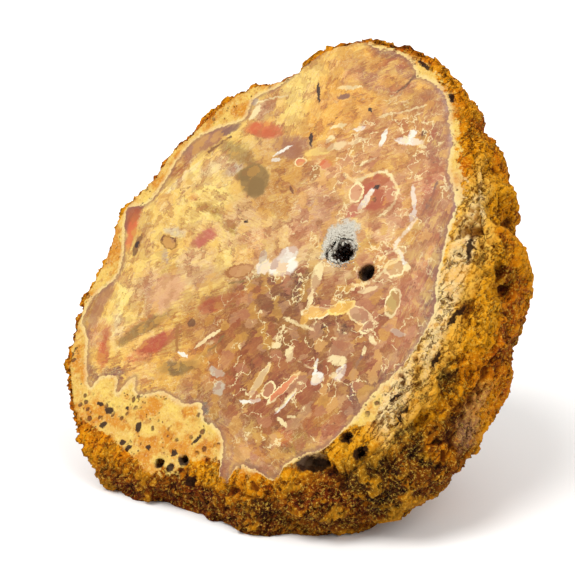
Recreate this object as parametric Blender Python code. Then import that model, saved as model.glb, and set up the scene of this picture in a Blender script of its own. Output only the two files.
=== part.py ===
"""Petrified wood: the sawn and polished end piece of a fossil trunk.

The stone is one solid. Its polished face leans back. The porous rind is cut flush in that face and
shows as its border, and behind the border the bark is rough. The underside has a flat spot that the
piece rests on. A thin crust of quartz crystals lines the larger open pocket in the face.

Lengths are in millimetres and angles in degrees. Two frames are used. A face point is (right, up)
from the face's middle, in the face's own tilted plane. A body point is (x, y, z) from the same
middle, with z up and y away from the viewer. The finished piece is moved to stand on z = 0, with
its middle over the origin.
"""

import math

import bmesh
import bpy
from mathutils import Matrix, Vector, noise

MM = 0.001

# Driving dimensions of the body
FACE_LEAN = 34.0
FACE_MIDDLE_HEIGHT = 77.0
BACK_DISTANCE = 50.0
BACK_LEAN_SHARE = 0.15
BACK_WIDTH_SHARE = 0.90
BACK_HEIGHT_SHARE = 0.80
BACK_DROP = 13.0
BACK_DOME = 11.0
BACK_ROUNDING = 7.0
BACK_ROUNDING_FROM = 0.72

# How finely the body is built
POINTS_AROUND = 120
BARK_RINGS = 22
BACK_SIDE = POINTS_AROUND // 4
RING_CROWDING = 1.35
CURVE_STEPS = 12

# Outline of the sawn face, anticlockwise from its right side
FACE_OUTLINE = [
    (73, -3), (72.5, 5), (71, 12.5), (68, 21), (64.5, 29), (59.5, 40), (54, 51.5), (49, 60),
    (42.5, 68), (35, 74), (28.5, 77), (22, 79.5), (16, 80.5), (9.5, 81.8), (3.5, 82), (-2, 81),
    (-7, 78.4), (-12, 74.5), (-16.3, 70), (-20.7, 65), (-26.5, 63.3), (-32.5, 62), (-37.8, 58.8),
    (-42.5, 54.8), (-47.8, 49.8), (-52.2, 43), (-57.5, 36), (-61.4, 29.2), (-63.5, 22.6), (-66, 16),
    (-70.8, 9), (-72, 2.5), (-72.4, -3.7), (-71.8, -10), (-71.2, -16), (-72.4, -22.3),
    (-73.8, -28.8), (-73, -35), (-72.4, -40.6), (-71, -46.4), (-70, -52), (-67.5, -57.6),
    (-64.3, -62.8), (-60.8, -67.8), (-55, -72.2), (-51, -76.5), (-43, -80), (-33, -82),
    (-20.5, -81.3), (-12, -80), (-5, -79), (2, -79), (9, -78), (18, -77.5), (26, -75.5),
    (35, -73), (43, -69), (51, -62.5), (57.5, -53), (63, -42), (68, -31), (71.5, -18),
]

# How far the bark swells past a straight line from face to back, by the direction it faces:
# (direction in degrees anticlockwise from the right, swelling)
BARK_SWELL = [
    (0, 9), (30, 5), (60, 2), (90, 1), (135, 3), (180, 3), (225, -5), (245, -1), (262, 17),
    (275, 20), (305, 17), (335, 15),
]
SWELL_EARLINESS = 0.7

# Rounded lumps (rise above 0) and long hollows (below 0) in the bark, as body points:
# name, one end, other end, radius, rise
BARK_FORMS = [
    ("upper lump", (76, 13, 8), (76, 22, 6), 8, 3.5),
    ("cavity under the upper lump", (78, 4, 2), (80, 12, -1), 3.5, -4),
    ("long boss", (77, 1, -6), (82, 10, -14), 7, 2),
    ("knuckle", (84, 14, -24), (82, 24, -27), 6, 3),
    ("round hollow", (77, -8, -19), (80, -4, -21), 4, -3),
    ("slanting recess, upper part", (74, -13, -26), (68, -20, -36), 4.5, -4),
    ("slanting recess, lower part", (68, -20, -36), (58, -28, -48), 4, -3),
    ("oval bulge", (66, -20, -54), (74, -8, -51), 9, 5),
    ("crease across the oval bulge", (68, -20, -47), (75, -10, -47), 2.5, -3.5),
    ("undercut behind the oval bulge", (74, 0, -62), (68, 14, -68), 6, -4),
    ("low lip", (58, -24, -68), (66, -8, -70), 5, 2),
    ("ledge at the upper right", (68, 30, 20), (70, 42, 13), 7, 4),
    ("notch over the ledge", (58, 34, 44), (66, 42, 34), 3.5, -2.5),
    ("lens hollow", (62, 24, 33), (65, 28, 30), 3.5, -2.5),
    ("furrow down the right wall", (71, 26, 17), (76, 44, 4), 3, -2.5),
    ("lump at the right back", (74, 44, -20), (72, 50, -34), 10, 4),
    ("left foot lump", (14, -43, -74), (24, -42, -75), 6, 2.5),
    ("hollow between the foot lumps", (35, -41, -71), (33, -38, -77), 5, -4),
    ("right foot lump", (46, -32, -74), (52, -22, -76), 7, 1.5),
    ("hollow under the face", (-2, -45, -71), (2, -42, -74), 4, -2),
    ("furrow along the left", (-75, 10, -30), (-70, 34, -38), 5, -3.5),
    ("lump on the left", (-72, 24, -8), (-68, 38, -12), 10, 4),
    ("upper left ledge", (-54, 38, 34), (-50, 50, 26), 7, 3),
    ("saddle at the top", (-20, 46, 54), (-22, 54, 44), 7, -3),
    ("lump low on the left", (-58, -12, -60), (-54, 12, -64), 9, 4),
    ("back furrow", (-30, 60, 30), (-14, 60, -50), 7, -4),
    ("back boss", (20, 62, 10), (30, 60, -24), 14, 5),
    ("back hollow", (46, 58, 20), (38, 58, -2), 8, -3.5),
    ("back ledge", (-50, 56, -20), (-36, 58, -50), 9, 4),
]

# Furrows and roughness of the bark: size of the feature, height
FURROWS = (13.0, 2.2)
FURROW_STRETCH = 0.62
SWELLS = (26.0, 2.4)
KNOBS = (8.5, 1.6)
RELIEF_FADE_IN = 6.0

RIM_WOBBLE = (5.0, 0.7)
LEAST_BEHIND_FACE = 0.5

# The larger pocket: middle as a face point with its depth behind the face, and half sizes
POCKET_PLACE = (24.0, 5.2, 4.0)
POCKET_HALF_SIZE = (5.9, 5.4, 6.6)
POCKET_RAGGEDNESS = 0.16
POCKET_RINGS = 12
POCKET_POINTS_AROUND = 20

# The crust of crystals in it. It covers the lowest rings of the pocket's wall.
CRUST_RINGS = 8
CRUST_GAP = 0.5
CRUST_THICKNESS = 0.7
CRYSTAL_HEIGHT = 0.6

# Worm bores, pits and slots open in the face: name, place, width, height, depth, turn, fineness.
# The turn is anticlockwise. The middle of each lies PIT_MIDDLE_SHARE of its depth behind the face.
FACE_PITS = [
    ("small pocket", (35.3, -0.3), 5.4, 5.8, 5.0, -20, 2),
    ("upper slot", (-6.6, 59.3), 1.5, 8.2, 3.0, 24, 1),
    ("slot by the middle line", (-2.7, 41.8), 1.5, 4.2, 2.5, 20, 1),
    ("dot at the upper right", (15.9, 54.7), 1.5, 1.6, 1.5, 0, 1),
    ("dot at the left", (-16.5, 10.1), 1.5, 1.6, 1.5, 0, 1),
    ("left bore", (-43.5, -63.2), 2.7, 2.3, 3.5, 0, 1),
    ("long bore", (-29.0, -66.3), 2.1, 3.2, 3.5, 15, 1),
    ("round bore", (-15.8, -75.2), 3.6, 3.0, 5.0, 10, 2),
    ("twin bore", (-10.6, -75.6), 2.4, 2.6, 3.5, 0, 1),
    ("bore by the twin", (-6.6, -71.6), 3.4, 3.0, 5.0, -10, 2),
    ("rim bore", (-2.6, -76.0), 3.0, 2.6, 4.0, 20, 1),
    ("upright bore", (-4.5, -64.8), 1.7, 3.4, 2.5, -35, 1),
    ("small bore", (-21.8, -71.2), 1.8, 1.8, 2.0, 0, 1),
    ("ragged cave", (40.5, -61.4), 8.6, 5.4, 5.5, 28, 2),
    ("cave mouth beside it", (33.6, -64.6), 3.0, 2.6, 3.0, 10, 1),
    ("right bore", (47.8, -52.0), 4.2, 3.6, 4.5, 30, 2),
    ("bore at the lower right rim", (53.6, -54.8), 3.2, 4.6, 4.5, -40, 1),
    ("rind slot one", (62.4, -41.2), 1.9, 7.6, 4.0, -14, 1),
    ("rind slot two", (58.6, -36.5), 1.2, 4.2, 2.5, -30, 1),
    ("rind slot three", (67.2, -22.4), 1.6, 5.0, 3.5, -16, 1),
    ("rind slot four", (69.0, -8.2), 1.5, 8.4, 3.5, -14, 1),
    ("rind slot five", (66.6, 13.0), 1.7, 8.6, 3.5, 18, 1),
    ("rind pit", (43.4, 62.0), 2.2, 3.4, 2.5, 25, 1),
    ("top crack", (29.6, 72.6), 6.4, 1.3, 4.0, -27, 1),
    ("left pit", (-58.4, -5.0), 1.8, 2.8, 2.0, 0, 1),
]
PIT_MIDDLE_SHARE = 0.25
PIT_RAGGEDNESS = 0.14
CAVE_RAGGEDNESS = 0.22
RAG_SIZES = ((1.6, 1.6), (3.2, 0.7))

# Caves in the bark, as body points: name, place, width, length, depth, fineness
BARK_CAVES = [
    ("cave under the upper lump", (80, 8, 1), 5.4, 7.6, 3.6, 2),
    ("cave by the round hollow", (80, -6, -21), 4.4, 5.6, 3.0, 2),
    ("cave in the recess", (70, -21, -36), 4.2, 8.0, 3.2, 2),
    ("cave low on the right", (72, 6, -62), 6.4, 5.0, 3.4, 1),
    ("cave under the face", (30, -40, -66), 5.0, 4.0, 3.0, 1),
    ("cave on the left", (-74, 18, -34), 6.6, 5.0, 3.4, 1),
    ("cave in the back", (2, 66, -14), 7.6, 5.8, 3.8, 1),
    ("cave high in the back", (-34, 62, 26), 6.0, 4.6, 3.2, 1),
]

# Block that is cut off under the floor
FLOOR_BLOCK = (400, 400, 60)

STONE_COLOUR = (0.50, 0.29, 0.10)
STONE_ROUGHNESS = 0.6
QUARTZ_COLOUR = (0.62, 0.60, 0.55)
QUARTZ_ROUGHNESS = 0.35

LEAN = math.radians(FACE_LEAN)
FACE_RIGHT = Vector((1, 0, 0))
FACE_UP = Vector((0, math.sin(LEAN), math.cos(LEAN)))
FACE_NORMAL = Vector((0, -math.cos(LEAN), math.sin(LEAN)))
FLOOR = -FACE_MIDDLE_HEIGHT


def on_face(right, up, behind=0.0):
    """Body point of a face point, or of one that far behind the face."""
    return FACE_RIGHT * right + FACE_UP * up - FACE_NORMAL * behind


def face_frame(right, up, behind, turn):
    """Matrix that puts a shape's own right, up and outward directions on the face there."""
    turned = Matrix.Rotation(math.radians(turn), 3, FACE_NORMAL)
    across, upward = turned @ FACE_RIGHT, turned @ FACE_UP
    frame = Matrix((across, upward, FACE_NORMAL)).transposed().to_4x4()
    frame.translation = on_face(right, up, behind)
    return frame


def smooth_step(share):
    return share * share * (3 - 2 * share)


def smooth_loop(points, count):
    """Evenly spaced points on a smooth closed curve through the given ones."""
    samples = []
    for i in range(len(points)):
        a, b, c, d = (Vector(points[(i + k) % len(points)]) for k in (-1, 0, 1, 2))
        for k in range(CURVE_STEPS):
            t = k / CURVE_STEPS
            bend = (2 * a - 5 * b + 4 * c - d) * t * t + (3 * b - a - 3 * c + d) * t ** 3
            samples.append(0.5 * (2 * b + (c - a) * t + bend))
    ends = samples[1:] + samples[:1]
    lengths = [(end - start).length for start, end in zip(samples, ends)]
    step = sum(lengths) / count
    found, walked = [], 0.0
    for start, end, length in zip(samples, ends, lengths):
        while len(found) < count and len(found) * step < walked + length:
            found.append(start.lerp(end, (len(found) * step - walked) / length))
        walked += length
    return found


def outward(loop):
    """Outward direction of each point of an anticlockwise flat loop."""
    ways = []
    for i in range(len(loop)):
        along = loop[(i + 1) % len(loop)] - loop[i - 1]
        ways.append(Vector((along.y, -along.x)).normalized())
    return ways


def face_loop():
    """The face's outline with the small wobble of a worn rim."""
    loop = smooth_loop(FACE_OUTLINE, POINTS_AROUND)
    size, height = RIM_WOBBLE
    return [
        point + way * height * noise.noise(point.to_3d() / size)
        for point, way in zip(loop, outward(loop))
    ]


def back_point(right, up):
    """Body point of the back's outline that answers to a point of the face's outline."""
    height = up * BACK_HEIGHT_SHARE - BACK_DROP
    return Vector((right * BACK_WIDTH_SHARE, BACK_DISTANCE + height * BACK_LEAN_SHARE, height))


def swell_towards(way):
    """How far the bark swells where it faces this way."""
    angle = math.degrees(math.atan2(way.y, way.x)) % 360
    turns = BARK_SWELL + [(360, BARK_SWELL[0][1])]
    for (start, low), (end, high) in zip(turns, turns[1:]):
        if angle <= end:
            return low + (high - low) * smooth_step((angle - start) / (end - start))
    return BARK_SWELL[0][1]


def bark_point(place, way, share):
    """Body point of the bark that share of the way from a point of the rim to the back."""
    straight = on_face(*place).lerp(back_point(*place), share)
    in_plane = FACE_RIGHT * way.x + FACE_UP * way.y
    out = in_plane.lerp(Vector((way.x, 0, way.y)), share)
    swell = swell_towards(way) * math.sin(math.pi * share ** SWELL_EARLINESS)
    rounding = max(0.0, share - BACK_ROUNDING_FROM) / (1 - BACK_ROUNDING_FROM)
    return straight + out * (swell - BACK_ROUNDING * rounding ** 2)


def distance_to(point, start, end):
    """Distance of a point from the line between start and end."""
    along = end - start
    share = max(0.0, min(1.0, (point - start).dot(along) / along.length_squared))
    return (point - start - along * share).length


def bark_relief(point):
    """How far the bark stands out at a body point. Furrows run along the trunk, square to the face."""
    along = FACE_NORMAL * point.dot(FACE_NORMAL)
    size, height = FURROWS
    rise = height * (0.5 - 2 * abs(noise.noise((point - along * FURROW_STRETCH) / size)))
    for size, height in (SWELLS, KNOBS):
        rise += height * noise.noise(point / size)
    for _, start, end, radius, lump in BARK_FORMS:
        distance = distance_to(point, Vector(start), Vector(end))
        rise += lump * math.exp(-((distance / radius) ** 2))
    return rise


def add_ring(mesh, points):
    return [mesh.verts.new(p) for p in points]


def join_rings(mesh, first, second):
    for i in range(len(first)):
        mesh.faces.new((first[i - 1], first[i], second[i], second[i - 1]))


def add_back(mesh, edge):
    """Fills the back's outline with an even domed grid, cornered half way round each quarter."""
    side, count = BACK_SIDE, len(edge)
    corner = side // 2
    top = [edge[corner + k] for k in range(side + 1)]
    left = [edge[corner + side + k] for k in range(side + 1)]
    bottom = [edge[(corner + 3 * side - k) % count] for k in range(side + 1)]
    right = [edge[corner - k] for k in range(side + 1)]
    grid = [top]
    for j in range(1, side):
        t = j / side
        row = [right[j]]
        for i in range(1, side):
            s = i / side
            down = top[i].co.lerp(bottom[i].co, t)
            across = right[j].co.lerp(left[j].co, s)
            corners = top[0].co.lerp(top[-1].co, s).lerp(bottom[0].co.lerp(bottom[-1].co, s), t)
            dome = 4 * s * (1 - s) * 4 * t * (1 - t)
            row.append(mesh.verts.new(down + across - corners + Vector((0, BACK_DOME * dome, 0))))
        grid.append(row + [left[j]])
    grid.append(bottom)
    for upper, lower in zip(grid, grid[1:]):
        for i in range(side):
            mesh.faces.new((upper[i], upper[i + 1], lower[i + 1], lower[i]))


def close_on_tip(mesh, ring, tip):
    middle = mesh.verts.new(tip)
    for i in range(len(ring)):
        mesh.faces.new((ring[i - 1], ring[i], middle))


def roughen_bark(body, rim):
    """Raises and sinks the bark along its normals, fading in behind the rim of the face."""
    body.normal_update()
    moved = {}
    for vert in body.verts:
        behind = -vert.co.dot(FACE_NORMAL)
        fade = smooth_step(max(0.0, min(1.0, behind / RELIEF_FADE_IN)))
        moved[vert] = vert.co + vert.normal * bark_relief(vert.co) * fade
    for vert in set(body.verts) - set(rim):
        ahead = moved[vert].dot(FACE_NORMAL) + LEAST_BEHIND_FACE
        vert.co = moved[vert] - FACE_NORMAL * max(0.0, ahead)


def stone_blank():
    """The stone before its pockets and its flat spot are cut, as a closed mesh."""
    loop = face_loop()
    ways = outward(loop)
    body = bmesh.new()
    rings = []
    for k in range(BARK_RINGS + 1):
        share = (k / BARK_RINGS) ** RING_CROWDING
        rings.append(add_ring(body, [bark_point(p, way, share) for p, way in zip(loop, ways)]))
    for front, behind in zip(rings, rings[1:]):
        join_rings(body, front, behind)
    add_back(body, rings[-1])
    bmesh.ops.recalc_face_normals(body, faces=body.faces)
    roughen_bark(body, rings[0])
    for face in body.faces:
        face.smooth = True
    body.faces.new(rings[0])
    bmesh.ops.recalc_face_normals(body, faces=body.faces)
    return body


def ragged(direction, amount, seed):
    """A share near 1 by which a rounded hollow is larger or smaller in a direction."""
    (coarse, coarse_share), (fine, fine_share) = RAG_SIZES
    large = noise.noise(direction * coarse + Vector((seed, 0, seed)))
    small = noise.noise(direction * fine + Vector((0, seed, 0)))
    return 1 + amount * (coarse_share * large + fine_share * small)


def add_blob(mesh, frame, half_size, fineness, amount, seed):
    """Adds a closed ragged ellipsoid to a mesh."""
    made = bmesh.ops.create_icosphere(mesh, subdivisions=fineness, radius=1.0)
    for vert in made["verts"]:
        direction = vert.co.normalized()
        shape = direction * ragged(direction, amount, seed)
        vert.co = frame @ Vector([a * b for a, b in zip(shape, half_size)])


def pocket_frame():
    right, up, behind = POCKET_PLACE
    return face_frame(right, up, behind, 0)


def pocket_wall(theta, phi, inset):
    """Body point inside the larger pocket's wall, theta from straight inwards and phi round it."""
    across = math.sin(theta)
    direction = Vector((across * math.cos(phi), across * math.sin(phi), -math.cos(theta)))
    shape = direction * ragged(direction, POCKET_RAGGEDNESS, 0.0)
    wall = Vector([a * b for a, b in zip(shape, POCKET_HALF_SIZE)])
    return pocket_frame() @ (wall - wall.normalized() * inset)


def pocket_ring(mesh, ring, inset, tips=False):
    """Adds a level ring of the pocket's wall, with crystal tips at every other point if wanted."""
    points = []
    for k in range(POCKET_POINTS_AROUND):
        phi = 2 * math.pi * (k + 0.5 * (ring % 2)) / POCKET_POINTS_AROUND
        tip = CRYSTAL_HEIGHT * (1 + noise.noise(Vector((k, ring, 0)) * 0.7)) if tips else 0.0
        points.append(pocket_wall(math.pi * ring / POCKET_RINGS, phi, inset + tip * ((k + ring) % 2)))
    return add_ring(mesh, points)


def pit_cutter():
    """Every pit, bore, slot and cave as one mesh to cut with."""
    cutter = bmesh.new()
    rings = [pocket_ring(cutter, ring, 0.0) for ring in range(1, POCKET_RINGS)]
    for low, high in zip(rings, rings[1:]):
        join_rings(cutter, low, high)
    close_on_tip(cutter, rings[0], pocket_wall(0, 0, 0.0))
    close_on_tip(cutter, rings[-1], pocket_wall(math.pi, 0, 0.0))
    bmesh.ops.recalc_face_normals(cutter, faces=cutter.faces)
    for seed, (_, place, width, height, depth, turn, fineness) in enumerate(FACE_PITS, 1):
        frame = face_frame(*place, depth * PIT_MIDDLE_SHARE, turn)
        half_size = (width / 2, height / 2, depth)
        add_blob(cutter, frame, half_size, fineness, PIT_RAGGEDNESS, seed)
    return cutter


def bark_frame(blank, place):
    """Matrix that puts a shape's own upward direction square to the bark at its nearest point."""
    nearest = min(blank.verts, key=lambda vert: (vert.co - Vector(place)).length)
    return Matrix.LocRotScale(nearest.co, nearest.normal.to_track_quat("Z", "Y"), None)


def cave_cutter(blank):
    """The caves of the bark as one mesh to cut with."""
    cutter = bmesh.new()
    for seed, (_, place, width, length, depth, fineness) in enumerate(BARK_CAVES):
        half_size = (width / 2, length / 2, depth)
        frame = bark_frame(blank, place)
        add_blob(cutter, frame, half_size, fineness, CAVE_RAGGEDNESS, seed + 0.5)
    return cutter


def floor_cutter():
    """A block under the floor, wider than the stone."""
    block = bmesh.new()
    bmesh.ops.create_cube(block, size=1.0)
    middle = Vector((0, 0, FLOOR - FLOOR_BLOCK[2] / 2))
    for vert in block.verts:
        vert.co = middle + Vector([a * b for a, b in zip(vert.co, FLOOR_BLOCK)])
    return block


def druse_mesh():
    """A thin crust on the larger pocket's wall, with crystal tips on its inner side."""
    crust = bmesh.new()
    sides = []
    for inset, tips in ((CRUST_GAP, False), (CRUST_GAP + CRUST_THICKNESS, True)):
        rings = [pocket_ring(crust, ring, inset, tips) for ring in range(1, CRUST_RINGS + 1)]
        for low, high in zip(rings, rings[1:]):
            join_rings(crust, low, high)
        close_on_tip(crust, rings[0], pocket_wall(0, 0, inset))
        sides.append(rings)
    outer, inner = sides
    join_rings(crust, outer[-1], inner[-1])
    bmesh.ops.recalc_face_normals(crust, faces=crust.faces)
    return crust


def material(name, colour, roughness):
    made = bpy.data.materials.new(name)
    made.use_nodes = True
    shader = made.node_tree.nodes["Principled BSDF"]
    shader.inputs["Base Color"].default_value = (*colour, 1)
    shader.inputs["Roughness"].default_value = roughness
    return made


def make_object(name, mesh, move):
    """An object of a body mesh, moved to where the finished piece stands and scaled to metres."""
    data = bpy.data.meshes.new(name)
    mesh.to_mesh(data)
    mesh.free()
    data.transform(Matrix.Scale(MM, 4) @ Matrix.Translation(move))
    made = bpy.data.objects.new(name, data)
    bpy.context.scene.collection.objects.link(made)
    return made


def cut(target, name, mesh, move):
    """Cuts a mesh out of the target and leaves the cutter as a wire shape that isn't rendered."""
    cutter = make_object(name, mesh, move)
    cutter.hide_render = True
    cutter.display_type = "WIRE"
    boolean = target.modifiers.new(name, "BOOLEAN")
    boolean.operation = "DIFFERENCE"
    boolean.solver = "EXACT"
    boolean.object = cutter


def standing_move(blank):
    """The move that puts the middle of the stone over the origin and its flat spot on z = 0."""
    above = [vert.co for vert in blank.verts if vert.co.z > FLOOR]
    x = (min(p.x for p in above) + max(p.x for p in above)) / 2
    y = (min(p.y for p in above) + max(p.y for p in above)) / 2
    return Vector((-x, -y, -FLOOR))


def build_stone(blank, move):
    caves = cave_cutter(blank)
    stone = make_object("petrified_wood", blank, move)
    stone.data.materials.append(material("petrified_wood", STONE_COLOUR, STONE_ROUGHNESS))
    cut(stone, "floor_cutter", floor_cutter(), move)
    cut(stone, "pit_cutter", pit_cutter(), move)
    cut(stone, "cave_cutter", caves, move)


def build_druse(move):
    druse = make_object("quartz_druse", druse_mesh(), move)
    druse.data.materials.append(material("quartz_druse", QUARTZ_COLOUR, QUARTZ_ROUGHNESS))


def main():
    for old in list(bpy.data.objects):
        bpy.data.objects.remove(old)
    blank = stone_blank()
    move = standing_move(blank)
    build_stone(blank, move)
    build_druse(move)


main()
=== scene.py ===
"""Petrified wood: the sawn and polished end piece of a fossil trunk, on a pale floor in soft light.

Lengths in the tables are in millimetres and angles in degrees. A face point is (right, up) from the
middle of the polished face, in its tilted plane, and its third coordinate is how far it stands in
front of the face. Settings and meshes are in metres.
"""

import math
import random

import bpy
import numpy as np
from mathutils import Matrix, Quaternion, Vector, noise


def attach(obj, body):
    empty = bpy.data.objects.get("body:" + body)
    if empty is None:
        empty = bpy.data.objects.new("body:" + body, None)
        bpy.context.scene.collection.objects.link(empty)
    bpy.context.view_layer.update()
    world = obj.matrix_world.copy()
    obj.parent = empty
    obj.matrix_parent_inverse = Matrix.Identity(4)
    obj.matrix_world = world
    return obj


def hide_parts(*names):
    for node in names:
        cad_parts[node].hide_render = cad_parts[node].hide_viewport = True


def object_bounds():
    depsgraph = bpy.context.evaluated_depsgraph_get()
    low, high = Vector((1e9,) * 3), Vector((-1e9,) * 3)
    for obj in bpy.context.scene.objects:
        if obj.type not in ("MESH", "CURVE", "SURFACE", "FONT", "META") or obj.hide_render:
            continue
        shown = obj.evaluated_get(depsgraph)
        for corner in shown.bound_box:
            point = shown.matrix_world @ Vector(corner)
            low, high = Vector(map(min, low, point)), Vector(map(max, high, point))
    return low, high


bl_info = {
    "name": "Petrified wood end piece",
    "version": (1, 0, 0),
    "blender": (4, 5, 0),
    "location": "3D View > Sidebar > Fossil",
    "description": "Builds a polished end piece of fossil wood with its crystal pocket and its stage",
    "category": "Add Mesh",
}

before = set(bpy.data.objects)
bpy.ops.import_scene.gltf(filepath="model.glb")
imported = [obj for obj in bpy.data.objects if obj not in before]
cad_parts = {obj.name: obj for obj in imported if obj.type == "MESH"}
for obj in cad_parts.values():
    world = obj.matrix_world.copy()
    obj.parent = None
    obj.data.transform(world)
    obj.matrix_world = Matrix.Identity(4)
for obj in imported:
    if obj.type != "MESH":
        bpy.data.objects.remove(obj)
CAD_BOX = [list(corner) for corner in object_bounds()]

MM = 0.001

# The polished face: its lean from upright, its middle, and the frame of its points
FACE_LEAN = math.radians(34)
FACE_MIDDLE = Vector((-2.831, -9.999, 77.0)) * MM
FACE_TURN = (math.pi / 2 - FACE_LEAN, 0, 0)
FACE_FRAME = Matrix.LocRotScale(FACE_MIDDLE, Matrix.Rotation(FACE_TURN[0], 3, "X").to_quaternion(),
                                Vector((MM, MM, MM)))
FACE_NORMAL = (FACE_FRAME.to_3x3() @ Vector((0, 0, 1))).normalized()

# The camera: its direction and distance from the place on the face that it aims at
CAMERA_AZIMUTH = math.radians(36.4)
CAMERA_ELEVATION = math.radians(15)
CAMERA_DISTANCE = 0.430
CAMERA_AIM = FACE_MIDDLE + Vector((11.447, -8.981, -7.038)) * MM
LENS = 85

# The lights: azimuth, elevation and spread
KEY_PLACE = (-10, 55, 28)
FILL_PLACE = (75, 45, 30)
FLOOR_SIZE = 12

# How much a paint is brightened by the stage's light, and the faint shine that lies over it
LIGHT = 1.55
HAZE = 0.012

# Edge of the heartwood in the face, anticlockwise from the right, as face points
HEART_EDGE = [
    (59, 10), (58, 18), (58, 25), (55, 31), (51, 38), (49.5, 46), (46, 53), (43, 60), (38, 65),
    (32, 67.5), (28.5, 68), (27, 71), (22, 75), (15, 77.5), (8, 77), (4, 81), (-4, 80.5), (-10, 76),
    (-16, 70), (-23, 61), (-32, 55), (-33, 47), (-40, 43.5), (-50, 38), (-55.5, 28), (-57, 20),
    (-61, 10.5), (-69, 8), (-67, 1), (-63, -9), (-62, -18), (-69, -27), (-69, -36), (-64, -41),
    (-61, -48), (-55, -57.5), (-52, -53), (-45, -51.5), (-42.5, -57), (-38, -50), (-34, -55.5),
    (-24, -52.5), (-15, -54.5), (-8, -53), (-5, -57), (3, -60), (7, -66), (10, -78), (14, -69),
    (20, -68.5), (28, -70), (31, -64), (36, -60), (42, -56), (47, -48), (50, -41), (53, -35),
    (58, -27), (61, -18), (62.5, -8), (60, 1),
]

# Wear of the face's rim by direction: angle from the right, width and depth of the rounding
RIM_WEAR = [
    (0, 10, 2.2), (40, 9, 2.0), (70, 6, 1.4), (90, 3, 0.7), (130, 2.4, 0.5), (180, 2.4, 0.5),
    (215, 3, 0.7), (245, 5, 1.2), (270, 9, 1.8), (290, 10, 2.2), (320, 12, 2.6), (360, 10, 2.2),
]
RIM_BINS = 240

# The bark: the way its furrows run and their size, how deep behind the face it is fully rough, how far
# it is drawn in, the ends of its ups and downs, and the height over the floor below which it is smooth
RUN_ANGLE = math.radians(70)
RUN = Vector((math.cos(RUN_ANGLE), math.sin(RUN_ANGLE)))
FURROW_SIZE = (13, 3.2, 3.2)
ROUGH_FROM = 3.0
BARK_SINK = 0.5
BARK_LOWEST = -4.5
BARK_HIGHEST = 0.9
REST_HEIGHT = 0.0006

# Sizes of the forms of the bark
LUMP_SIZE = 12
RIDGE_SIZE = 6.5
CRUMB_SIZE = 2.4
GROOVE_SIZE = 3.6
PORE_SIZE = 4.6

# Roughness of the worn rim, of the rind and of the resting spot, as shares of the bark's
RIM_ROUGHNESS = 0.9
RIND_ROUGHNESS = 0.3
REST_ROUGHNESS = 0.1

# A vertex belongs to the face if it is no deeper than this behind it and faces its way as much as this
FACE_SLACK = 0.3
FACE_ALIKE = 0.8

# Holes in the face have no bark: how far from the rim they start, and how deep they go
HOLE_FROM_RIM = 9
HOLE_DEPTH = 14

# The back's mesh is thinner from this place on, and keeps this share of its faces
BACK_FROM = 30
BACK_SHARE = 0.36

# Colours of the stone as they look in even light, in the usual 0 to 255 steps. The near-black brown (62,
# 32, 12) is laid on only as painted shade, and the dark brown (116, 64, 24) is painted shade in holes and
# pores and partly the bark's own colour, partly painted shade on it.
LOOKS = {
    "white": (255, 250, 232), "cream": (254, 232, 172), "butter": (254, 222, 124),
    "straw": (244, 200, 104), "honey": (236, 178, 76), "ochre": (208, 146, 52),
    "olive": (182, 142, 62), "moss": (140, 108, 58), "beige": (236, 194, 130),
    "blush": (226, 172, 124), "tan": (204, 150, 92), "pink": (210, 136, 96),
    "rose": (198, 106, 86), "coral": (220, 110, 62), "red": (184, 84, 54),
    "brick": (172, 90, 52), "brown": (170, 112, 54), "umber": (112, 70, 32),
    "dark": (52, 30, 14), "mauve": (178, 124, 92), "plum": (138, 96, 82),
    "grey": (206, 190, 164), "slate": (132, 116, 100), "amber": (226, 150, 44),
    "rust": (192, 112, 36), "brown_and_shade": (116, 64, 24), "painted_shade": (62, 32, 12), "lemon": (255, 220, 112),
}

# How soft the edges of the face's marks are, as shares of their size
WASH_EDGE = 0.26
STAIN_EDGE = 0.3
TINT_EDGE = 0.5
GRAIN_EDGE = 0.4
BROKEN_EDGE = 0.3

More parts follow.
